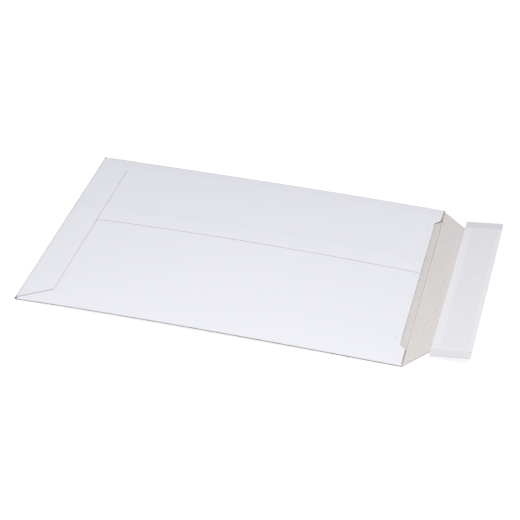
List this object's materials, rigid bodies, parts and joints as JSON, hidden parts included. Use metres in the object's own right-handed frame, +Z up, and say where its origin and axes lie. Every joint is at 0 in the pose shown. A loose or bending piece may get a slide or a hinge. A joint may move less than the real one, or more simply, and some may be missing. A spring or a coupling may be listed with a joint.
{
  "type": "cardboard envelope",
  "caption": "Flat solid-board mailing envelope with a lapped back seam, glued bottom flap, recessed mouth and an open self-seal flap under its release liner.",
  "frame": {"origin": "middle of the front panel's outer face, on which the envelope lies", "axes": "+X from the bottom fold to the mouth and the closing flap, +Y from the near side fold to the far one, +Z up through the back panels"},
  "size_m": [0.3676, 0.238, 0.007],
  "materials": {
    "board": "white-lined solid board, grey inside",
    "adhesive": "dull pressure-sensitive film",
    "liner": "smooth coated paper"
  },
  "bodies": {
    "root": {"envelope_blank": "board", "adhesive_strip": "adhesive", "release_liner": "liner"}
  },
  "joints": []
}
